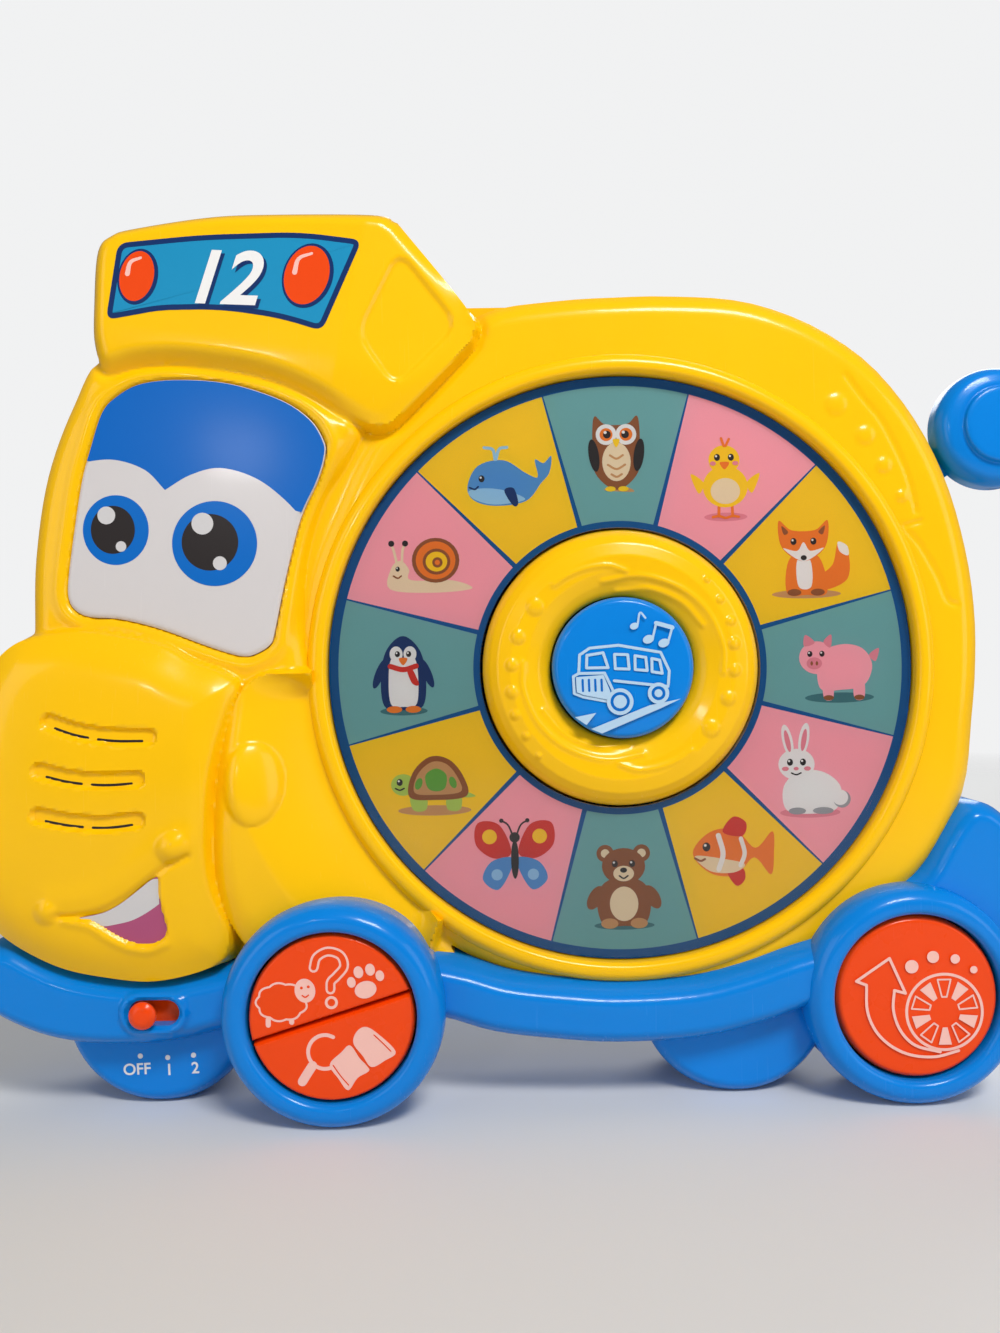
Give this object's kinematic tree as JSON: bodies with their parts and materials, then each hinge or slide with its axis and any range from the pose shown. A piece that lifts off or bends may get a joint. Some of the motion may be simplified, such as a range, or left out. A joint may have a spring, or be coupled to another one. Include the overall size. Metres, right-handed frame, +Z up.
{
  "type": "musical toy school bus",
  "caption": "Flat relief toy bus on wheel feet, with a pressable picture disc, a hub button, wheel buttons, a side lever and a slide switch.",
  "frame": {"origin": "on the floor under the middle of the overall bounding box", "axes": "+X along the bus from its hood to its rear lever, +Y from the front face to the flat back, +Z up"},
  "size_m": [0.3384, 0.064, 0.2728],
  "materials": {
    "yellow_plastic": "glossy moulded yellow",
    "navy_plastic": "glossy moulded dark blue",
    "blue_plastic": "glossy moulded bright blue",
    "orange_plastic": "glossy moulded red-orange",
    "sign_print": "printed label, cyan blue with white figures",
    "panel_print": "white moulded panel with printed blue top and eyes",
    "mouth_print": "printed label, pink-purple",
    "card_print": "printed card, twelve teal, pink and yellow sectors on blue",
    "clear_plastic": "clear moulded",
    "white_plastic": "moulded white",
    "rubber_pads": "grey silicone",
    "circuit_board": "green solder mask",
    "black_plastic": "black resin",
    "capacitor_jacket": "dark blue sleeve",
    "screw_steel": "zinc-plated",
    "spring_steel": "nickel-plated",
    "switch_can": "tinned can",
    "speaker_metal": "pressed steel and plated magnet",
    "speaker_paper": "dark pressed paper",
    "cell_jacket": "plain two-tone jacket",
    "red_wire": "red insulation",
    "black_wire": "black insulation",
    "grey_wire": "grey ribbon insulation"
  },
  "bodies": {
    "housing": {"front_shell": "yellow_plastic", "back_shell": "navy_plastic", "chassis": "blue_plastic", "sign_label": "sign_print", "windshield": "panel_print", "mouth_label": "mouth_print", "pad_ring": "rubber_pads", "ring_board": "circuit_board", "wheel_frame": "white_plastic", "hub": "yellow_plastic", "music_pad": "rubber_pads", "hub_board": "circuit_board", "front_button_pads": "rubber_pads", "front_button_board": "circuit_board", "rear_button_pad": "rubber_pads", "rear_button_board": "circuit_board", "lever_spring": "spring_steel", "lever_switch": "black_plastic", "pivot_screw": "screw_steel", "slide_switch": "switch_can", "main_board": "circuit_board", "sound_chip": "black_plastic", "capacitors": "capacitor_jacket", "speaker_basket": "speaker_metal", "speaker_cone": "speaker_paper", "speaker_magnet": "speaker_metal", "speaker_clamp": "white_plastic", "speaker_screws": "screw_steel", "upper_cell": "cell_jacket", "lower_cell": "cell_jacket", "battery_contacts": "spring_steel", "battery_springs": "spring_steel", "case_screws": "screw_steel", "frame_screws": "screw_steel", "chassis_screws": "screw_steel", "board_screws": "screw_steel", "speaker_leads": "red_wire", "battery_leads": "red_wire", "switch_leads": "black_wire", "front_ribbon": "grey_wire", "rear_ribbon": "grey_wire"},
    "picture_disc": {"press_plate": "white_plastic", "clear_cover": "clear_plastic", "picture_card": "card_print"},
    "music": {"music_button": "blue_plastic"},
    "quiz": {"quiz_button": "orange_plastic"},
    "story": {"story_button": "orange_plastic"},
    "spin": {"spin_button": "orange_plastic"},
    "lever": {"lever_arm": "blue_plastic", "lever_knob": "blue_plastic", "knob_screw": "screw_steel"},
    "switch": {"switch_knob": "orange_plastic"},
    "door": {"battery_door": "navy_plastic", "door_screw": "screw_steel"}
  },
  "joints": [
    {"name": "disc_press", "type": "slide", "parent": "housing", "child": "picture_disc", "axis": [0, 1, 0], "range_m": [0, 0.0015], "stiffness_N_per_m": 800, "springref_m": -0.001},
    {"name": "music_press", "type": "slide", "parent": "housing", "child": "music", "axis": [0, 1, 0], "range_m": [0, 0.002], "stiffness_N_per_m": 500, "springref_m": -0.001},
    {"name": "quiz_press", "type": "slide", "parent": "housing", "child": "quiz", "axis": [0, 1, 0], "range_m": [0, 0.002], "stiffness_N_per_m": 500, "springref_m": -0.001},
    {"name": "story_press", "type": "slide", "parent": "housing", "child": "story", "axis": [0, 1, 0], "range_m": [0, 0.002], "stiffness_N_per_m": 500, "springref_m": -0.001},
    {"name": "spin_press", "type": "slide", "parent": "housing", "child": "spin", "axis": [0, 1, 0], "range_m": [0, 0.002], "stiffness_N_per_m": 500, "springref_m": -0.001},
    {"name": "lever_pull", "type": "hinge", "parent": "housing", "child": "lever", "pos_m": [0.0322, 0, 0.133], "axis": [0, 1, 0], "range_deg": [0, 25], "stiffness_Nm_per_rad": 0.3, "springref_deg": -20.05},
    {"name": "switch_slide", "type": "slide", "parent": "housing", "child": "switch", "axis": [1, 0, 0], "range_m": [0, 0.008]},
    {"name": "door_off", "type": "slide", "parent": "housing", "child": "door", "axis": [0, 1, 0], "range_m": [0, 0.015]}
  ]
}
